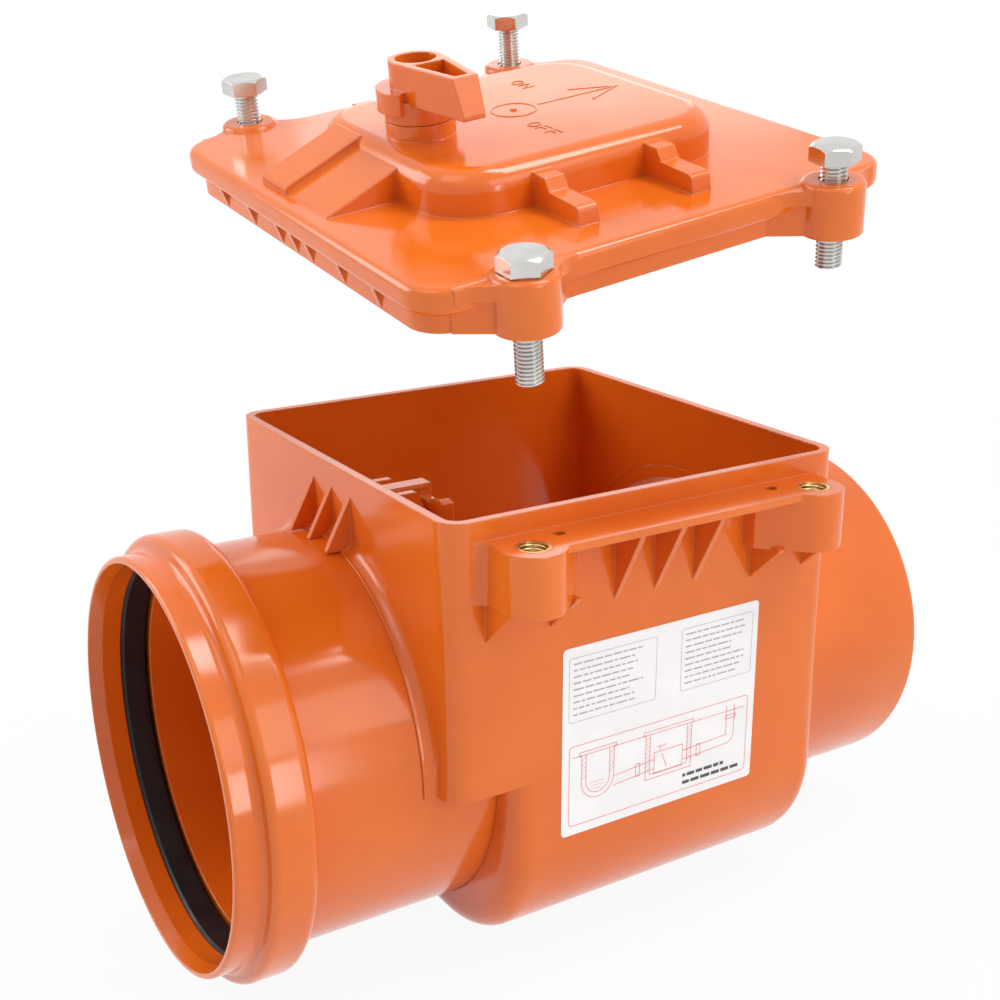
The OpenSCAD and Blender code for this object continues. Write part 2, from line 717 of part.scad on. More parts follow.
// Cover at its seat
module cover_shape() {
  step_rib_x = 25;
  ramp_y = [-20, 14, 35];
  ramp_step = 2.5;
  skirt = skirt_room + skirt_t;
  lip_edge = box_x0 - lip_x;
  difference() {
    union() {
      translate([box_mid, 0, lip_z0])
        soft_slab(box_len + 2 * lip_x, 2 * (half_w + lip_y), lip_corner_r, lip_h, lip_round, lip_round);
      box_prism(box_x0, skirt, skirt_z0, plate_z0);
      for (sx = [-1, 1], sy = [-1, 1]) cover_ear(sx, sy);
      translate([box_mid, 0, plate_z1 - dome_root])
        soft_slab(dome_len, dome_w, dome_corner_r, dome_h + dome_root, dome_round, 0.5);
      ramp(ramp_y[0], ramp_y[1], 1);
      ramp(ramp_y[1] - seam, ramp_y[2], 1 + ramp_step);
      both_sides() for (s = [-1, 1]) step_rib(box_mid + s * step_rib_x);
      for (m = [0, 1], y = skirt_gussets_y) translate([m * 2 * box_mid, 0, 0]) mirror([m, 0, 0])
        plate_xz(y, gusset_t) polygon([
          [box_x0 - skirt + over, skirt_z0 + 0.5], [box_x0 - skirt, skirt_z0 + 0.5],
          [lip_edge + over, lip_z0 + lip_round / 3], [lip_edge + over, lip_z0 + lip_round / 2],
          [box_x0 - skirt + over, lip_z0 + lip_round / 2]
        ]);
      translate([spindle_x, 0, dome_z1 - 2]) cylinder(h = boss_h + 2, r = boss_r);
    }
    box_prism(box_x0, skirt_room, cover_foot_z - over, plate_z0);
    box_prism(box_x0, -gasket_in - gasket_land, plate_z0 - over, plate_z1 - plate_t);
    difference() {
      box_prism(box_x0, skirt_room - seam, plate_z0 - over, plate_z0 + gasket_groove);
      box_prism(box_x0, -gasket_in, plate_z0 - 2 * over, plate_z0 + gasket_groove + over);
    }
    translate([box_mid, 0, plate_z0 - over])
      soft_slab(
        dome_len - 2 * dome_wall, dome_w - 2 * dome_wall, dome_corner_r - dome_wall,
        dome_z1 - dome_wall - plate_z0 + over, dome_round - dome_wall, 0.5
      );
    for (sx = [-1, 1], sy = [-1, 1]) translate(bolt_at(sx, sy) + [0, 0, cover_foot_z - over])
      cylinder(h = cover_ear_h + 2 * over, r = bolt_r + bolt_clearance);
    translate([spindle_x, 0, plate_z0]) cylinder(h = boss_z - plate_z0 + over, r = spindle_bore_r);
    translate([spindle_x, 0, plate_z0]) cylinder(h = inner_boss_z - plate_z0, r = clip_r + clip_room);
  }
  difference() {
    translate([spindle_x, 0, inner_boss_z]) cylinder(h = dome_z1 - inner_boss_z - 1, r = inner_boss_r);
    translate([spindle_x, 0, inner_boss_z - over]) cylinder(h = dome_h + over, r = spindle_bore_r);
  }
}

module cover() {
  color(body_orange) lifted() cover_shape();
}

module cover_gasket() {
  room = 0.1;
  low = rim_z + rest_gap;
  color(rubber_black) lifted() difference() {
    box_prism(box_x0, skirt_room - seam - room, low, plate_z0 + gasket_groove);
    box_prism(box_x0, -gasket_in + room, low - over, plate_z0 + gasket_groove + over);
  }
}

// Hexagon bolt standing at its own height in the cover
module bolt(sx, sy) {
  stand = bolt_stand[(sy + 1) / 2][(sx + 1) / 2];
  corner = bolt_flats / sqrt(3);
  cone = corner * tan(30);
  drop = 0.9 * tan(30);
  tip = 1;
  color(steel_grey) lifted() translate(bolt_at(sx, sy) + [0, 0, cover_ear_top + stand]) {
    intersection() {
      cylinder(h = bolt_head_h, r = corner, $fn = 6);
      cylinder(h = bolt_head_h + cone - drop, r1 = corner + (bolt_head_h - drop) / tan(30), r2 = 0);
    }
    translate([0, 0, tip - bolt_len]) cylinder(h = bolt_len - tip + 0.5, r = bolt_r);
    translate([0, 0, -bolt_len]) cylinder(h = tip, r1 = bolt_r - tip, r2 = bolt_r);
  }
}

// Grip outline round the spindle, narrowing to the tip on the -Y side
module grip_plan(inset) {
  r = grip_r - inset;
  lean = asin((grip_r - tip_half) / lever_len);
  circle(r);
  polygon([
    [-r * cos(lean), -r * sin(lean)], [r * cos(lean), -r * sin(lean)],
    [tip_half - inset, inset - lever_len], [inset - tip_half, inset - lever_len]
  ]);
}

// Lever with its hub, half collar, hollow grip and screw recess
module handle() {
  collar_r = boss_r + 2.5;
  collar_h = 8;
  collar_z = grip_z0 - 3.5;
  open_half = 55;
  lean_back = 5;
  rib_y = -9.5;
  pocket = 10;
  color(body_orange) lifted() translate([spindle_x, 0, 0]) difference() {
    union() {
      translate([0, 0, hub_z0]) cylinder(h = hub_h + over, r = boss_r);
      difference() {
        translate([0, 0, collar_z]) cylinder(h = collar_h, r = collar_r);
        translate([0, 0, collar_z - over]) linear_extrude(collar_h + 2 * over) polygon([
          [0, 0], [2 * collar_r * sin(open_half), -2 * collar_r * cos(open_half)],
          [-2 * collar_r * sin(open_half), -2 * collar_r * cos(open_half)]
        ]);
      }
      intersection() {
        translate([0, 0, grip_z0]) linear_extrude(lever_h) grip_plan(0);
        plate_yz(-grip_r - over, grip_r + over) polygon([
          [grip_r + over, grip_z0], [grip_r + over, grip_z1], [lean_back - lever_len, grip_z1],
          [-lever_len, grip_z0 + 1.5], [-lever_len, grip_z0]
        ]);
      }
    }
    translate([0, 0, cup_floor]) cylinder(h = lever_h, r = grip_r - grip_wall);
    translate([0, 0, grip_z1 - pocket]) linear_extrude(lever_h) intersection() {
      grip_plan(grip_wall);
      translate([-grip_r, -lever_len + lean_back + grip_wall])
        square([2 * grip_r, lever_len - lean_back - grip_wall + rib_y]);
    }
    translate([0, 0, hub_z0 - over]) cylinder(h = cup_floor - hub_z0 - 5, r = drive_r + drive_gap, $fn = 6);
    translate([0, 0, hub_z0]) cylinder(h = lever_h + hub_h, r = screw_r + drive_gap);
  }
}

module handle_screw() {
  head_r = 5.4;
  head_h = 3.2;
  shank = 14;
  color(steel_grey) lifted() translate([spindle_x, 0, cup_floor]) difference() {
    union() {
      rotate_extrude() intersection() {
        translate([0, head_h - 9]) circle(9);
        square([head_r, head_h]);
      }
      translate([0, 0, -shank]) cylinder(h = shank + 0.5, r = screw_r);
    }
    for (a = [0, 90]) rotate([0, 0, a]) translate([-2.6, -0.55, head_h - 1.6]) cube([5.2, 1.1, 3]);
  }
}

// Spindle with a hexagon drive at each end, two seal grooves and a clip groove
module spindle() {
  top = cup_floor - 6.4;
  foot = cam_z0 - 1.8;
  groove = 1.6;
  color(steel_grey) lifted() translate([spindle_x, 0, 0]) difference() {
    union() {
      translate([0, 0, cam_z0 + cam_t]) cylinder(h = boss_z - cam_z0 - cam_t, r = spindle_r);
      translate([0, 0, boss_z - over]) cylinder(h = top - boss_z + over, r = drive_r, $fn = 6);
      translate([0, 0, foot]) cylinder(h = cam_z0 + cam_t - foot + over, r = drive_r, $fn = 6);
    }
    for (z = o_ring_levels()) translate([0, 0, z - groove / 2]) difference() {
      cylinder(h = groove, r = spindle_r + over);
      translate([0, 0, -over]) cylinder(h = groove + 2 * over, r = spindle_r - 1.2);
    }
    translate([0, 0, clip_z - 0.1]) difference() {
      cylinder(h = clip_t + 0.2, r = spindle_r + over);
      translate([0, 0, -over]) cylinder(h = clip_t + 2 * over, r = spindle_r - 0.8);
    }
    translate([0, 0, cup_floor - 15]) cylinder(h = 15, r = screw_r + running);
  }
}

// Heights of the two seal grooves in the cover's boss
function o_ring_levels() = [inner_boss_z + 6, boss_z - 6];

module spindle_o_rings() {
  thick = 0.52;
  color(rubber_black) lifted() translate([spindle_x, 0, 0]) for (z = o_ring_levels())
    translate([0, 0, z]) rotate_extrude() translate([spindle_r - 1.2 + thick + 0.05, 0]) circle(thick);
}

// Cam whose finger stands over the lock arm while the lever points across the flow
module lock_cam() {
  finger_half = 5;
  color(body_orange) lifted() translate([spindle_x, 0, cam_z0]) difference() {
    union() {
      cylinder(h = cam_t, r = cam_r);
      translate([finger_half - cam_reach, -finger_half, 0])
        cube([cam_reach - finger_half, 2 * finger_half, cam_t]);
      translate([finger_half - cam_reach, 0, 0]) cylinder(h = cam_t, r = finger_half);
    }
    translate([0, 0, -over]) cylinder(h = cam_t + 2 * over, r = drive_r + drive_gap, $fn = 6);
  }
}

module spindle_clip() {
  color(steel_grey) lifted() translate([spindle_x, 0, clip_z]) difference() {
    cylinder(h = clip_t, r = clip_r);
    translate([0, 0, -over]) cylinder(h = clip_t + 2 * over, r = spindle_r - 0.75);
    translate([0, -spindle_r / 2, -over]) cube([2 * spindle_r, spindle_r, clip_t + 2 * over]);
  }
}

chamber();
inlet_socket();
outlet_spigot();
lip_seal();
insert(-1, -1);  // insert_front_left
insert(1, -1);  // insert_front_right
insert(-1, 1);  // insert_back_left
insert(1, 1);  // insert_back_right
label();
flap_seat();
seat_gasket();
hinge_pin();
pin_clips();
flap();
flap_seal();
clamp_ring();
clamp_screws();
cover();
cover_gasket();
bolt(-1, -1);  // bolt_front_left
bolt(1, -1);  // bolt_front_right
bolt(-1, 1);  // bolt_back_left
bolt(1, 1);  // bolt_back_right
handle();
handle_screw();
spindle();
spindle_o_rings();
lock_cam();
spindle_clip();
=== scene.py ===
"""Looks of a drain backwater valve: finishes, threaded bolts, moulded marks, label print and light."""

import json
import math
import random

import bmesh
import bpy
from mathutils import Matrix, Vector


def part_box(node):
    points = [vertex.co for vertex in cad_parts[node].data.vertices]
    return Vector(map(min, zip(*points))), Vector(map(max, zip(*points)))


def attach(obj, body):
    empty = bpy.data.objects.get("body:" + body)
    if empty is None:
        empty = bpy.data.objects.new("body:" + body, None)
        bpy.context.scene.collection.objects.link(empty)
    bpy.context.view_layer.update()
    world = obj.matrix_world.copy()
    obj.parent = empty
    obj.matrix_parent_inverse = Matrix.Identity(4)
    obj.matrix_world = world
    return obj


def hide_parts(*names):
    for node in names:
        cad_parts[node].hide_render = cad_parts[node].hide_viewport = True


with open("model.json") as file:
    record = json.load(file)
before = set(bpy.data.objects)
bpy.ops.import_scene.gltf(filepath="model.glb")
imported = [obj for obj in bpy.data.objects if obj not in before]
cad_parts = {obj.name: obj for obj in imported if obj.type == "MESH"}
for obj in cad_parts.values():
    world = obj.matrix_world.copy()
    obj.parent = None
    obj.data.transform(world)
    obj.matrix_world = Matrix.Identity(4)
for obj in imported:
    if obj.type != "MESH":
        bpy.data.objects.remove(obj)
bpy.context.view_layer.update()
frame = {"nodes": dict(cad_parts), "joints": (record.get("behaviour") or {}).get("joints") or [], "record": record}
nodes = frame["nodes"]
joints = {joint["name"]: joint for joint in frame["joints"]}

MM = 0.001
WELD_TOL = 1e-7
FLAT_TOL = 1e-6
SHARP_DEG = 22
CORNERS = ("front_left", "front_right", "back_left", "back_right")

# Photograph and camera: a 1000 pixel frame on a 36 mm sensor
IMAGE_PX = 1000
SENSOR_MM = 36.0
FOCAL_PX = 1450.0
VIEW_AZIMUTH = -31.9
VIEW_ELEVATION = 17.9
VIEW_ROLL = -0.11
VIEW_TARGET = Vector((62.9, 1.7, 83.95)) * MM
VIEW_DISTANCE = 642.9 * MM

# Bolts: M10 screws threaded up to a hexagon head
THREAD_R = 5.0 * MM
THREAD_DEPTH = 0.92 * MM
THREAD_PITCH = 1.5 * MM
THREAD_STEPS = 32
HEX_FLATS = 16.6 * MM
HEX_HEIGHT = 6.57 * MM
HEX_FACE = 0.95
HEX_STEPS = 72
HEX_TURN_DEG = {"front_left": 30, "front_right": 24, "back_left": 38, "back_right": 21}
WASHER_H = 0.4 * MM
CHAMFER_SLOPE = math.tan(math.radians(30))

# Tapped bores of the inserts
TAP_R = 5.29 * MM
TAP_DEPTH = 0.19 * MM
TAP_TURNS = 9
TAP_SINK = 0.4 * MM

# Marks moulded on the dome, in millimetres from its middle
DOME_TOP = Vector((75.0, 0.0, 142.0)) * MM
MARK_RISE = 0.24
GATE_R = 9.0
GATE_BAND = 0.9
GATE_TOP = 0.5
GATE_STEPS = 48
NUB_PROFILE = ((1.5, 0.0), (1.2, 0.55), (0.525, 0.75))
NUB_STEPS = 20
ARROW_START = 11.5
ARROW_TIP = 50.0
ARROW_BARB = (18.0, 9.0)
ARROW_BAND = 1.3
ARROW_TOP = 0.6
LETTER_H = 5.2
LETTER_W = 4.2
LETTER_GAP = 2.4
LETTER_BAND = 0.8
LETTER_TOP = 0.7
LETTER_STEPS = 24
ON_PLACE = (20.0, 34.0)
OFF_PLACE = (-7.0, -19.5)

# Label print, in millimetres from the label's upper left corner
INK_T = 0.04
FRAME_LINE = 0.22
SCHEME_LINE = 0.4
PRINT_SEED = 11
PRINT_MARGIN = 3.0
PRINT_ROWS = 9
PRINT_HEIGHT = 0.62
WORD_SPAN = (1.5, 5.5)
WORD_MIN = 0.6
WORD_GAP = 0.8
ROW_SHORT = 0.3
FOOTING_ROWS = 2
FOOTING_PITCH = 3.4
FOOTING_HEIGHT = 1.5
DRAWING_MARGIN = 3.5
DRAWING_BASE = 14.0

# Edges: the radius that each finish eases them to, and how far a painted highlight pales the plastic on them
PLASTIC_EASE = 0.9 * MM
RUBBER_EASE = 0.5 * MM
METAL_EASE = 0.15 * MM
EASE_SAMPLES = 6
EDGE_HIGHLIGHT = 0.55
EDGE_LEAN = (0.995, 0.72)

# Floor and light, in metres and watts
FLOOR_Z = -93.1 * MM
FLOOR_R = 6.0
FLOOR_GLOW = 0.93
FLOOR_FADE = (0.4, 1.1)
FILL = 0.76
FILL_DIM = 0.2
DIM_SIDE = (-0.78, -0.62, 0.0)
DIM_SPAN = (0.3, 0.8)
LIT_MIDDLE = (0.07, 0.0, 0.06)

# Softboxes: place, the point that each one faces, width, height and power
SOFTBOXES = {
    "back_softbox": ((0.66, 0.92, 0.66), (0.07, 0.0, 0.2), 0.6, 0.42, 0.8),
    "top_softbox": ((0.335, -0.34, 1.12), (0.1, -0.05, 0.0), 0.24, 0.68, 4.9),
    "key_softbox": ((-0.85, -0.3, 1.25), LIT_MIDDLE, 0.8, 0.8, 3.0),
    "left_softbox": ((-0.95, 0.8, 0.7), LIT_MIDDLE, 0.8, 0.8, 8.0),
    "front_softbox": ((0.27, -1.22, 0.08), (0.0, 0.0, 0.08), 0.18, 0.5, 1.8),
    "upper_front_softbox": ((0.3, -1.2, 0.7), LIT_MIDDLE, 0.8, 0.6, 2.6),
}


def lid_place():
    """The turn that takes the cover from its seat to where it is held at rest."""
    lift = joints["cover_lift"]
    pivot = Matrix.Translation(Vector(lift["pos_m"]))
    turn = Matrix.Rotation(math.radians(-lift["range_deg"][0]), 4, Vector(lift["axis"]))
    return pivot @ turn @ pivot.inverted()


LID = lid_place()


# Finishes

def start(name):
    """A new material with its node tree, its shader and the frame's own coordinates."""
    mat = bpy.data.materials.new(name)
    mat.use_nodes = True
    tree = mat.node_tree
    coords = tree.nodes.new("ShaderNodeTexCoord").outputs["Object"]
    return mat, tree, tree.nodes["Principled BSDF"], coords


def noise(tree, coords, scale, detail=3.0, stretch=None):
    """Noise over the surface, finer with a higher scale, drawn out along an axis by stretch."""
    if stretch:
        mapping = tree.nodes.new("ShaderNodeMapping")
        mapping.inputs["Scale"].default_value = stretch
        tree.links.new(coords, mapping.inputs["Vector"])
        coords = mapping.outputs["Vector"]
    node = tree.nodes.new("ShaderNodeTexNoise")
    node.inputs["Scale"].default_value = scale
    node.inputs["Detail"].default_value = detail
    tree.links.new(coords, node.inputs["Vector"])
    return node.outputs["Fac"]


def spread(tree, value, low, high, source=(0.3, 0.7)):
    """Maps a noise value to the range from low to high."""
    node = tree.nodes.new("ShaderNodeMapRange")
    node.inputs["From Min"].default_value = source[0]
    node.inputs["From Max"].default_value = source[1]
    node.inputs["To Min"].default_value = low
    node.inputs["To Max"].default_value = high
    tree.links.new(value, node.inputs["Value"])
    return node.outputs["Result"]


def shades(tree, value, dark, light, source=(0.35, 0.65)):
    """Maps a noise value to the colours from dark to light."""
    node = tree.nodes.new("ShaderNodeValToRGB")
    ends = node.color_ramp.elements
    ends[0].position, ends[1].position = source
    ends[0].color = (*dark, 1.0)
    ends[1].color = (*light, 1.0)
    tree.links.new(value, node.inputs["Fac"])
    return node.outputs["Color"]


def blend_colour(tree, factor, first, second):
    """Goes from the first colour to the second, a fixed one, by a factor."""
    node = tree.nodes.new("ShaderNodeMix")
    node.data_type = "RGBA"
    node.inputs["B"].default_value = (*second, 1.0)
    tree.links.new(factor, node.inputs["Factor"])
    tree.links.new(first, node.inputs["A"])
    return node.outputs["Result"]


def bump(tree, height, strength, distance, normal=None):
    """A bump in metres on top of an earlier normal."""
    node = tree.nodes.new("ShaderNodeBump")
    node.inputs["Strength"].default_value = strength
    node.inputs["Distance"].default_value = distance
    tree.links.new(height, node.inputs["Height"])
    if normal:
        tree.links.new(normal, node.inputs["Normal"])
    return node.outputs["Normal"]


def soft_edges(tree, radius):
    """The normal with every sharp edge eased to a small radius."""
    node = tree.nodes.new("ShaderNodeBevel")
    node.samples = EASE_SAMPLES
    node.inputs["Radius"].default_value = radius
    return node.outputs["Normal"]


def painted_highlight_share(tree, eased):
    """The share of the plastic's painted edge highlight: how far the eased normal leans away from the flat one, 0
    on a face and more on its edges.
    """
    flat = tree.nodes.new("ShaderNodeNewGeometry").outputs["Normal"]
    dot = tree.nodes.new("ShaderNodeVectorMath")
    dot.operation = "DOT_PRODUCT"
    tree.links.new(flat, dot.inputs[0])
    tree.links.new(eased, dot.inputs[1])
    return spread(tree, dot.outputs["Value"], 0.0, EDGE_HIGHLIGHT, EDGE_LEAN)


def moulded_plastic(name, dark, light, edge):
    """Glossy moulded PVC: faint flow in the colour, a slightly wavy skin and edges paled by a painted highlight.
    """
    mat, tree, shader, coords = start(name)
    eased = soft_edges(tree, PLASTIC_EASE)
    flow = shades(tree, noise(tree, coords, 16, 4.0), dark, light)
    # The edge colour is a painted highlight, blended in along the eased edges.
    colour = blend_colour(tree, painted_highlight_share(tree, eased), flow, edge)
    tree.links.new(colour, shader.inputs["Base Color"])
    rough = spread(tree, noise(tree, coords, 45, 5.0), 0.10, 0.18)
    tree.links.new(rough, shader.inputs["Roughness"])
    wavy = bump(tree, noise(tree, coords, 22, 0.0), 0.04, 0.7 * MM, eased)
    grain = bump(tree, noise(tree, coords, 1500, 2.0), 0.03, 0.05 * MM, wavy)
    tree.links.new(grain, shader.inputs["Normal"])
    shader.inputs["IOR"].default_value = 1.53
    return mat


def seal_rubber(name):
    """Black seal rubber: dull, dusty in places and finely pitted."""
    mat, tree, shader, coords = start(name)
    colour = shades(tree, noise(tree, coords, 70, 5.0), (0.004, 0.004, 0.005), (0.010, 0.010, 0.012))
    tree.links.new(colour, shader.inputs["Base Color"])
    tree.links.new(spread(tree, noise(tree, coords, 120, 3.0), 0.38, 0.52), shader.inputs["Roughness"])
    pits = bump(tree, noise(tree, coords, 900, 2.0), 0.12, 0.1 * MM, soft_edges(tree, RUBBER_EASE))
    tree.links.new(pits, shader.inputs["Normal"])
    shader.inputs["Specular IOR Level"].default_value = 0.35
    return mat


def bright_metal(name, dark, light, rough, stretch):
    """Turned or rolled metal: fine streaks in its shine and clouding in its colour."""
    mat, tree, shader, coords = start(name)
    shader.inputs["Metallic"].default_value = 1.0
    tree.links.new(shades(tree, noise(tree, coords, 70, 2.0), dark, light), shader.inputs["Base Color"])
    streaks = noise(tree, coords, 260, 4.0, stretch)
    tree.links.new(spread(tree, streaks, *rough), shader.inputs["Roughness"])
    lines = bump(tree, streaks, 0.03, 0.05 * MM, soft_edges(tree, METAL_EASE))
    tree.links.new(lines, shader.inputs["Normal"])
    return mat


def printed_film(name):
    """White label film: a satin skin with the faint unevenness of its glue."""
    mat, tree, shader, coords = start(name)
    colour = shades(tree, noise(tree, coords, 60, 4.0), (0.87, 0.87, 0.87), (0.92, 0.92, 0.92))
    tree.links.new(colour, shader.inputs["Base Color"])
    tree.links.new(spread(tree, noise(tree, coords, 200, 3.0), 0.34, 0.46), shader.inputs["Roughness"])
    tree.links.new(bump(tree, noise(tree, coords, 130, 2.0), 0.06, 0.1 * MM), shader.inputs["Normal"])
    return mat


def ink(name, dark, light):
    """Printing ink: the film's satin skin with a slightly broken colour."""
    mat, tree, shader, coords = start(name)
    tree.links.new(shades(tree, noise(tree, coords, 900, 3.0), dark, light), shader.inputs["Base Color"])
    tree.links.new(spread(tree, noise(tree, coords, 200, 3.0), 0.36, 0.5), shader.inputs["Roughness"])
    return mat


# The third colour is the painted highlight that pales the plastic's edges.
ORANGE = moulded_plastic("orange_pvc", (0.73, 0.138, 0.008), (0.79, 0.165, 0.013), (0.84, 0.26, 0.07))
RUBBER = seal_rubber("black_rubber")
STEEL = bright_metal("stainless_steel", (0.58, 0.57, 0.55), (0.68, 0.67, 0.65), (0.14, 0.24), (1, 1, 6))
BRASS = bright_metal("turned_brass", (0.62, 0.43, 0.16), (0.83, 0.62, 0.29), (0.20, 0.34), (1, 1, 8))
FILM = printed_film("label_film")
GREY_INK = ink("grey_ink", (0.34, 0.34, 0.35), (0.46, 0.46, 0.47))
DARK_INK = ink("dark_ink", (0.05, 0.05, 0.055), (0.09, 0.09, 0.095))
RED_INK = ink("red_ink", (0.80, 0.27, 0.27), (0.86, 0.38, 0.37))

FINISHES = {
    "body_plastic": ORANGE,
    "seal_rubber": RUBBER,
    "stainless": STEEL,
    "brass": BRASS,
    "label_paper": FILM,
}


def dress_nodes():
    """Gives every CAD node the finish of its material slot."""
    for part in frame["record"]["subparts"]:
        obj = nodes[part["node"]]
        finish = FINISHES[part["material_slot"]]
        if not obj.material_slots:
            obj.data.materials.append(finish)
        for slot in obj.material_slots:
            slot.material = finish


# Mesh pieces

def piece(name, shapes, place, body, finish, smooth=False):
    """One mesh piece from a list of (vertices, faces), set in place, riding on a body."""
    mesh = bpy.data.meshes.new(name)
    work = bmesh.new()
    for verts, faces in shapes:
        made = [work.verts.new(place @ Vector(v)) for v in verts]
        for face in faces:
            work.faces.new([made[i] for i in face])
    bmesh.ops.remove_doubles(work, verts=work.verts, dist=WELD_TOL)
    bmesh.ops.recalc_face_normals(work, faces=work.faces)
    for face in work.faces:
        face.smooth = smooth
    work.to_mesh(mesh)
    work.free()
    if smooth:
        mesh.set_sharp_from_angle(angle=math.radians(SHARP_DEG))
    mesh.materials.append(finish)
    obj = bpy.data.objects.new(name, mesh)
    bpy.context.scene.collection.objects.link(obj)
    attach(obj, body)
    return obj


def ribbon(points, width, height, top=1.0, closed=False):
    """A raised band along a flat path, with mitred bends and a top that may be narrower than its foot."""
    path = [Vector((p[0], p[1])) for p in points]
    count = len(path)
    verts = []
    for i, point in enumerate(path):
        back = path[i - 1] if closed or i > 0 else None
        ahead = path[(i + 1) % count] if closed or i < count - 1 else None
        into = (point - back).normalized() if back is not None else (ahead - point).normalized()
        out = (ahead - point).normalized() if ahead is not None else into
        middle = (into + out).normalized()
        across = Vector((-middle.y, middle.x)) * (width / 2 / max(0.45, middle.dot(into)))
        for share, rise in ((1, 0), (top, height), (-top, height), (-1, 0)):
            corner = point + across * share
            verts.append((corner.x, corner.y, rise))
    faces = []
    for i in range(count if closed else count - 1):
        a = 4 * i
        b = 4 * ((i + 1) % count)
        faces += [(a + k, b + k, b + (k + 1) % 4, a + (k + 1) % 4) for k in range(4)]
    if not closed:
        faces += [(0, 1, 2, 3), tuple(4 * count - 1 - k for k in range(4))]
    return verts, faces


def circle(radius, steps):
    """Points evenly spaced round the origin."""
    turns = [2 * math.pi * i / steps for i in range(steps)]
    return [(radius * math.cos(t), radius * math.sin(t)) for t in turns]


def ring_faces(rings, steps):
    """Faces between rings of points that follow each other, and one on each end."""
    faces = []
    for k in range(rings - 1):
        for i in range(steps):
            j = (i + 1) % steps
            faces.append((k * steps + i, k * steps + j, (k + 1) * steps + j, (k + 1) * steps + i))
    faces.append(tuple(range(steps)))
    faces.append(tuple((rings - 1) * steps + i for i in range(steps)))
    return faces


def arc(middle, radius, start_deg, end_deg, steps):
    """Points along a round arc."""
    turns = [math.radians(start_deg + (end_deg - start_deg) * i / steps) for i in range(steps + 1)]
    return [(middle[0] + radius * math.cos(t), middle[1] + radius * math.sin(t)) for t in turns]


def box_path(x0, y0, x1, y1, radius=0.0):
    """The corners of a rectangle, rounded where a radius is given."""
    if not radius:
        return [(x0, y0), (x1, y0), (x1, y1), (x0, y1)]
    spots = ((x1 - radius, y1 - radius, 0), (x0 + radius, y1 - radius, 90),
             (x0 + radius, y0 + radius, 180), (x1 - radius, y0 + radius, 270))
    return [p for x, y, turn in spots for p in arc((x, y), radius, turn, turn + 90, 5)]


# Bolts and tapped bores

def thread(r_crest, depth, z0, z1):
    """A helical thread between two heights, with flat crests and roots."""
    profile = (-depth, -depth, 0.0, 0.0)
    turns = int((z1 - z0) / THREAD_PITCH) + 2
    rows = len(profile) * turns
    verts = []
    for step in range(THREAD_STEPS + 1):
        turn = step / THREAD_STEPS
        angle = 2 * math.pi * turn
        for row in range(rows + 1):
            rise = THREAD_PITCH * (row / len(profile) + turn - 1)
            r = r_crest + profile[row % len(profile)]
            z = min(max(z0 + rise, z0), z1)
            verts.append((r * math.cos(angle), r * math.sin(angle), z))
    faces = []
    for step in range(THREAD_STEPS):
        for row in range(rows):
            a = step * (rows + 1) + row
            b = a + rows + 1
            faces.append((a, b, b + 1, a + 1))
    return verts, faces


def clean_faces(shape):
    """Drops the faces that the ends of a thread squeeze flat."""
    verts, faces = shape
    kept = []
    for face in faces:
        corners = [Vector(verts[i]) for i in face]
        if max(c.z for c in corners) - min(c.z for c in corners) > FLAT_TOL:
            kept.append(face)
    return verts, kept


def disc(r, z):
    """A flat round face, as the end of a thread."""
    verts = [(x, y, z) for x, y in circle(r, THREAD_STEPS)]
    return verts, [tuple(range(THREAD_STEPS))]


def hex_head(z0):
    """A hexagon head with a washer face under it and a 30 degree chamfer on its corners."""
    face_r = HEX_FLATS / 2 * HEX_FACE
    rings = [[], [], [], [], []]
    for i in range(HEX_STEPS):
        angle = 2 * math.pi * i / HEX_STEPS
        lean = angle % (math.pi / 3) - math.pi / 6
        hex_r = HEX_FLATS / 2 / math.cos(lean)
        drop = max(0.0, hex_r - face_r) * CHAMFER_SLOPE
        spots = ((face_r, 0.0), (face_r, WASHER_H), (hex_r, WASHER_H),
                 (hex_r, HEX_HEIGHT - drop), (face_r, HEX_HEIGHT))
        for ring, (r, z) in zip(rings, spots):
            ring.append((r * math.cos(angle), r * math.sin(angle), z0 + z))
    verts = [v for ring in rings for v in ring]
    return verts, ring_faces(len(rings), HEX_STEPS)


def closed_span(node):
    """A node's lowest and highest corners with the cover on its seat."""
    back = LID.inverted()
    spots = [back @ v.co for v in nodes[node].data.vertices]
    low = Vector([min(s[k] for s in spots) for k in range(3)])
    high = Vector([max(s[k] for s in spots) for k in range(3)])
    return low, high


def bolts():
    """The four threaded bolts in place of their plain solids."""
    for corner in CORNERS:
        node = "bolt_" + corner
        low, high = closed_span(node)
        foot = Vector(((low.x + high.x) / 2, (low.y + high.y) / 2, low.z))
        head_z = high.z - low.z - HEX_HEIGHT
        shapes = [clean_faces(thread(THREAD_R, THREAD_DEPTH, 0.0, head_z)),
                  disc(THREAD_R - THREAD_DEPTH, 0.0), hex_head(head_z)]
        turn = Matrix.Rotation(math.radians(HEX_TURN_DEG[corner]), 4, "Z")
        place = LID @ Matrix.Translation(foot) @ turn
        made = piece(node + "_threaded", shapes, place, node, STEEL, True)
        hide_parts(node)


def tapped_bores():
    """The thread inside each brass insert, as a thin sleeve in its bore."""
    for corner in CORNERS:
        low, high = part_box("insert_" + corner)
        mouth = Vector(((low.x + high.x) / 2, (low.y + high.y) / 2, high.z - TAP_SINK))
        depth = TAP_TURNS * THREAD_PITCH
        shape = clean_faces(thread(TAP_R, TAP_DEPTH, -depth, 0.0))
        piece("tapped_bore_" + corner, [shape], Matrix.Translation(mouth), "body", BRASS, True)


# Marks on the dome

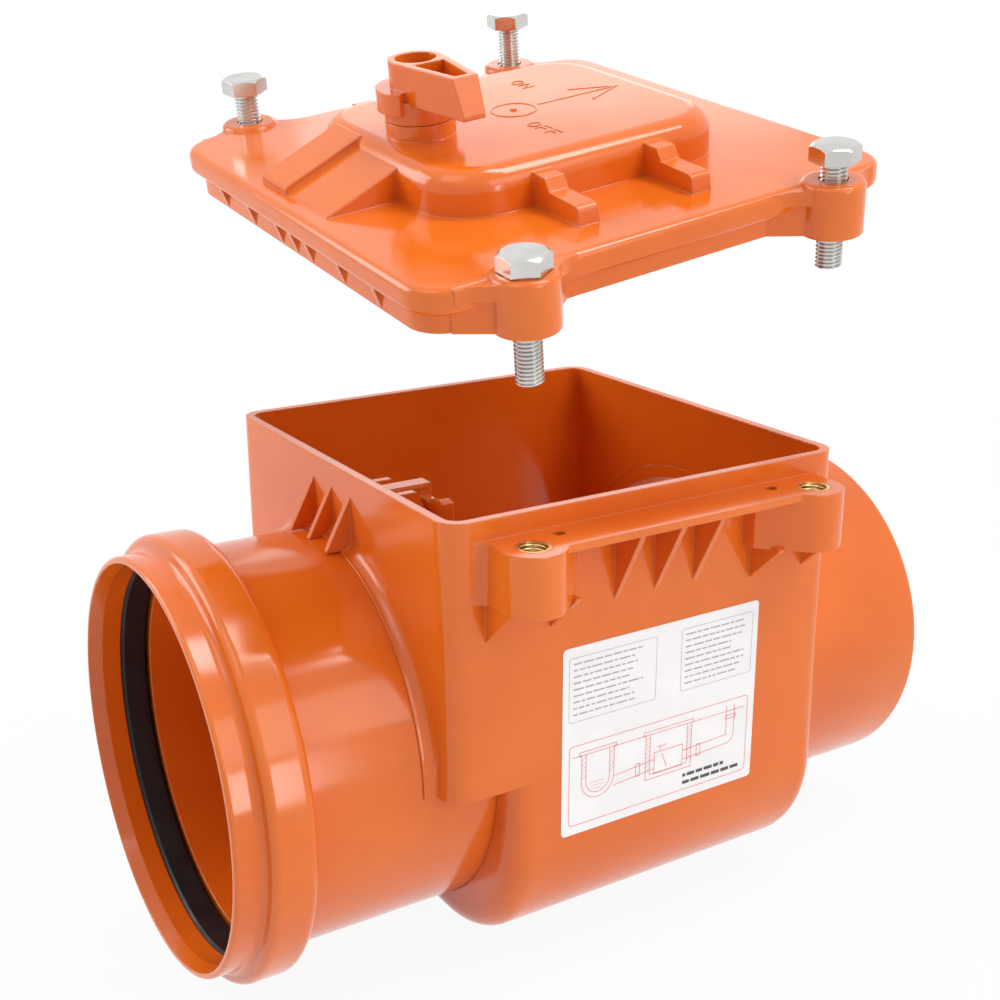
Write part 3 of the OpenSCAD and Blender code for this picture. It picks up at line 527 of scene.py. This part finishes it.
def letters(word, place):
    """Raised strokes of a short word that is read from the inlet side."""
    w, h = LETTER_W, LETTER_H
    oval = [(w / 2 * (1 + x), h / 2 * (1 + y)) for x, y in circle(1.0, LETTER_STEPS)]
    strokes = {
        "O": [(oval, True)],
        "N": [([(0, 0), (0, h), (w, 0), (w, h)], False)],
        "F": [([(0, 0), (0, h), (w, h)], False), ([(0, h * 0.52), (w * 0.8, h * 0.52)], False)],
    }
    shapes = []
    for index, letter in enumerate(word):
        shift = index * (w + LETTER_GAP)
        for path, closed in strokes[letter]:
            turned = [(place[0] + b, place[1] - a - shift) for a, b in path]
            shapes.append(ribbon(turned, LETTER_BAND, MARK_RISE, LETTER_TOP, closed))
    return shapes


def dome_marks():
    """The gate mark, the flow arrow and the lever's two words, all raised in the cover's own plastic."""
    place = LID @ Matrix.Translation(DOME_TOP) @ Matrix.Scale(MM, 4)
    ring = ribbon(circle(GATE_R, GATE_STEPS), GATE_BAND, MARK_RISE, GATE_TOP, True)
    nub = [(x, y, z) for r, z in NUB_PROFILE for x, y in circle(r, NUB_STEPS)]
    nub_faces = ring_faces(len(NUB_PROFILE), NUB_STEPS)
    piece("gate_mark", [ring, (nub, nub_faces)], place, "cover", ORANGE, True)
    back, half = ARROW_BARB
    shaft = [(ARROW_START, 0), (ARROW_TIP - ARROW_BAND, 0)]
    barbs = [(ARROW_TIP - back, half), (ARROW_TIP, 0), (ARROW_TIP - back, -half)]
    arrow = [ribbon(path, ARROW_BAND, MARK_RISE, ARROW_TOP) for path in (shaft, barbs)]
    piece("flow_arrow", arrow, place, "cover", ORANGE)
    words = letters("ON", ON_PLACE) + letters("OFF", OFF_PLACE)
    piece("lever_words", words, place, "cover", ORANGE)


# Label print

def text_lines(x0, y0, x1, rows, pitch, height, draw):
    """Rows of short dashes that stand for lines of small print."""
    shapes = []
    for row in range(rows):
        x = x0
        y = y0 + row * pitch
        end = x1 - draw.uniform(0.0, ROW_SHORT) * (x1 - x0)
        while x < end:
            word = min(draw.uniform(*WORD_SPAN), end - x)
            if word > WORD_MIN:
                shapes.append(ribbon([(x, y), (x + word, y)], height, INK_T))
            x += word + WORD_GAP
    return shapes


def hatch(x0, y0, x1, y1, pitch):
    """Slanting lines inside a narrow wall of the drawing."""
    count = int((y1 - y0) / pitch)
    rise = min(pitch, x1 - x0)
    return [ribbon([(x0, y0 + (i + 1) * pitch), (x1, y0 + (i + 1) * pitch - rise)], FRAME_LINE, INK_T)
            for i in range(count)]


def small_print(wide, tall, draw):
    """Two framed blocks of small print side by side."""
    top, foot = 4.5, tall * 0.39
    blocks = ((PRINT_MARGIN, wide * 0.46), (wide * 0.59, wide - PRINT_MARGIN))
    pitch = (foot - top - 3.0) / PRINT_ROWS
    shapes = []
    for x0, x1 in blocks:
        shapes.append(ribbon(box_path(x0, top, x1, foot, 1.2), FRAME_LINE, INK_T, closed=True))
        shapes += text_lines(x0 + 2.0, top + 2.6, x1 - 2.0, PRINT_ROWS, pitch, PRINT_HEIGHT, draw)
    return shapes


def drain_drawing(wide, tall):
    """A framed section through a drain: a manhole, a pit with the valve and a riser, joined by pipes."""
    x0, y0, x1, y1 = DRAWING_MARGIN, tall * 0.52, wide - DRAWING_MARGIN, tall - 4.0
    ground = y0 + 5.0
    base = tall - DRAWING_BASE
    bore = 4.2
    pipe = base - 8.5
    sole = pipe + bore
    shell = 2.2
    manhole = (x0 + 6.0, x0 + 22.0)
    pit = (wide * 0.42, wide * 0.66)
    inlet, outlet = pit[0] + 4.5, pit[1] - 4.5
    riser = wide * 0.85
    outfall = ground - 2.5
    bend = pipe - 1.0
    valve = (inlet, pipe - 3.0, outlet, sole + 2.5)
    knob = valve[1] - 2.4
    lines = [
        [(x0 + 1.5, ground), (manhole[0], ground)],
        [(manhole[1], ground), (pit[0], ground)],
        [(pit[1], ground), (x1 - 1.5, ground)],
        [(manhole[1], pipe + 1.6), (inlet, pipe)],
        [(manhole[1], sole + 1.6), (inlet, sole)],
        [(outlet, pipe), (riser, bend), (riser, outfall)],
        [(outlet, sole), *arc((riser, bend), bore, 80, 0, 8), (riser + bore, outfall)],
        [(inlet + 4.0, valve[1] + 1.4), (inlet + 6.6, valve[3] - 1.4)],
        [(inlet + 3.0, knob), (inlet + 3.0, valve[1])],
        [(inlet + 1.5, knob), (inlet + 6.5, knob)],
    ]
    for inset in (0.0, shell):
        radius = (manhole[1] - manhole[0]) / 2 - inset
        bowl = arc((sum(manhole) / 2, base - radius - inset), radius, 180, 0, 14)
        lines.append([(manhole[0] + inset, ground), *bowl, (manhole[1] - inset, ground)])
        lines.append([(pit[0] + inset, ground), (pit[0] + inset, base - inset),
                      (pit[1] - inset, base - inset), (pit[1] - inset, ground)])
    frames = [
        box_path(x0, y0, x1, y1, 1.5),
        box_path(*valve),
        box_path(manhole[0] - 1.0, ground - 1.5, manhole[1] + 1.0, ground),
        box_path(pit[0] - 1.0, ground - 1.5, pit[1] + 1.0, ground),
        box_path(pit[0] - 5.0, pipe - 0.4, pit[0] - 3.0, sole + 1.0),
        box_path(pit[1] + 3.0, pipe - 0.8, pit[1] + 5.0, sole + 0.4),
        box_path(riser - 0.6, ground + 2.0, riser + bore + 0.6, ground + 3.6),
    ]
    shapes = [ribbon(path, SCHEME_LINE, INK_T) for path in lines]
    shapes += [ribbon(path, SCHEME_LINE, INK_T, closed=True) for path in frames]
    walls = ((manhole[0], base - 8.0), (manhole[1] - shell, pipe),
             (pit[0], base - shell), (pit[1] - shell, base - shell))
    for edge, foot in walls:
        shapes += hatch(edge, ground + 0.8, edge + shell, foot, 2.0)
    for row in range(3):
        water = base - 7.0 + row * 1.5
        bank = 4.0 + row
        level = [(manhole[0] + bank, water), (manhole[1] - bank, water)]
        shapes.append(ribbon(level, FRAME_LINE, INK_T))
    return shapes


def label_print():
    """The label's generic print: small print, a drawing, and two bolder lines in the drawing's corner."""
    draw = random.Random(PRINT_SEED)
    low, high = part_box("label")
    wide = (high.x - low.x) / MM
    tall = (high.z - low.z) / MM
    place = Matrix(((MM, 0, 0, low.x), (0, 0, -MM, low.y), (0, -MM, 0, high.z), (0, 0, 0, 1)))
    footing = (wide * 0.62, tall - DRAWING_BASE + FOOTING_PITCH, wide - DRAWING_MARGIN - PRINT_MARGIN)
    grey = small_print(wide, tall, draw)
    dark = text_lines(*footing, FOOTING_ROWS, FOOTING_PITCH, FOOTING_HEIGHT, draw)
    piece("label_small_print", grey, place, "body", GREY_INK)
    piece("label_drawing", drain_drawing(wide, tall), place, "body", RED_INK)
    piece("label_footing", dark, place, "body", DARK_INK)


# Floor, light and camera

def seen_directly(tree):
    """1 for rays that show the surroundings: straight to the camera, mirrored or through glass."""
    path = tree.nodes.new("ShaderNodeLightPath")
    total = path.outputs["Is Camera Ray"]
    for kind in ("Is Glossy Ray", "Is Transmission Ray"):
        join = tree.nodes.new("ShaderNodeMath")
        join.operation = "MAXIMUM"
        tree.links.new(total, join.inputs[0])
        tree.links.new(path.outputs[kind], join.inputs[1])
        total = join.outputs["Value"]
    return total


def white_floor():
    """A wide pale floor that shows as white and keeps a faint shadow."""
    mesh = bpy.data.meshes.new("floor")
    work = bmesh.new()
    bmesh.ops.create_circle(work, cap_ends=True, radius=FLOOR_R, segments=96)
    work.to_mesh(mesh)
    work.free()
    floor = bpy.data.objects.new("floor", mesh)
    floor.location.z = FLOOR_Z
    bpy.context.scene.collection.objects.link(floor)
    mat, tree, shader, coords = start("white_floor")
    pale = shades(tree, noise(tree, coords, 3, 2.0), (0.84, 0.84, 0.84), (0.87, 0.87, 0.87))
    tree.links.new(pale, shader.inputs["Base Color"])
    shader.inputs["Roughness"].default_value = 0.9
    glow = tree.nodes.new("ShaderNodeEmission")
    glow.inputs["Strength"].default_value = 1.0
    mix = tree.nodes.new("ShaderNodeMixShader")
    away = tree.nodes.new("ShaderNodeVectorMath")
    away.operation = "LENGTH"
    tree.links.new(coords, away.inputs[0])
    share = tree.nodes.new("ShaderNodeMath")
    share.operation = "MULTIPLY"
    tree.links.new(seen_directly(tree), share.inputs[0])
    tree.links.new(spread(tree, away.outputs["Value"], FLOOR_GLOW, 1.0, FLOOR_FADE), share.inputs[1])
    tree.links.new(share.outputs["Value"], mix.inputs["Fac"])
    tree.links.new(shader.outputs["BSDF"], mix.inputs[1])
    tree.links.new(glow.outputs["Emission"], mix.inputs[2])
    tree.links.new(mix.outputs["Shader"], tree.nodes["Material Output"].inputs["Surface"])
    mesh.materials.append(mat)


def white_world():
    """White surroundings to look at, and a softer fill to light by, dimmer on the socket's side."""
    world = bpy.data.worlds.new("studio")
    bpy.context.scene.world = world
    world.use_nodes = True
    tree = world.node_tree
    back = tree.nodes["Background"]
    back.inputs["Color"].default_value = (1, 1, 1, 1)
    lean = tree.nodes.new("ShaderNodeVectorMath")
    lean.operation = "DOT_PRODUCT"
    lean.inputs[1].default_value = DIM_SIDE
    tree.links.new(tree.nodes.new("ShaderNodeTexCoord").outputs["Generated"], lean.inputs[0])
    strength = tree.nodes.new("ShaderNodeMix")
    strength.inputs["B"].default_value = 1.0
    tree.links.new(seen_directly(tree), strength.inputs["Factor"])
    tree.links.new(spread(tree, lean.outputs["Value"], FILL, FILL_DIM, DIM_SPAN), strength.inputs["A"])
    tree.links.new(strength.outputs["Result"], back.inputs["Strength"])


def softbox(name, place, aim, width, height, watts):
    """A rectangular lamp that is turned to face a point."""
    lamp = bpy.data.lights.new(name, "AREA")
    lamp.shape = "RECTANGLE"
    lamp.size = width
    lamp.size_y = height
    lamp.energy = watts
    obj = bpy.data.objects.new(name, lamp)
    obj.location = place
    obj.rotation_euler = (Vector(aim) - Vector(place)).to_track_quat("-Z", "Y").to_euler()
    obj.visible_camera = False
    bpy.context.scene.collection.objects.link(obj)


def studio_light():
    """All the softboxes: behind, above, to the left and in front."""
    for name, settings in SOFTBOXES.items():
        softbox(name, *settings)


def photo_camera():
    """The photograph's viewpoint, from its azimuth, elevation, roll and distance."""
    az, el, roll = (math.radians(a) for a in (VIEW_AZIMUTH, VIEW_ELEVATION, VIEW_ROLL))
    back = Vector((math.sin(az) * math.cos(el), -math.cos(az) * math.cos(el), math.sin(el)))
    right = Vector((math.cos(az), math.sin(az), 0.0))
    up = back.cross(right)
    across = right * math.cos(roll) + up * math.sin(roll)
    upward = up * math.cos(roll) - right * math.sin(roll)
    data = bpy.data.cameras.new("photo_camera")
    data.sensor_width = SENSOR_MM
    data.lens = FOCAL_PX / IMAGE_PX * SENSOR_MM
    data.clip_end = 50.0
    camera = bpy.data.objects.new("photo_camera", data)
    turn = Matrix((across, upward, back)).transposed()
    camera.matrix_world = Matrix.Translation(VIEW_TARGET + back * VIEW_DISTANCE) @ turn.to_4x4()
    bpy.context.scene.collection.objects.link(camera)
    bpy.context.scene.camera = camera


dress_nodes()
bolts()
tapped_bores()
dome_marks()
label_print()
white_floor()
white_world()
studio_light()
photo_camera()
bpy.context.scene.view_settings.view_transform = "Standard"
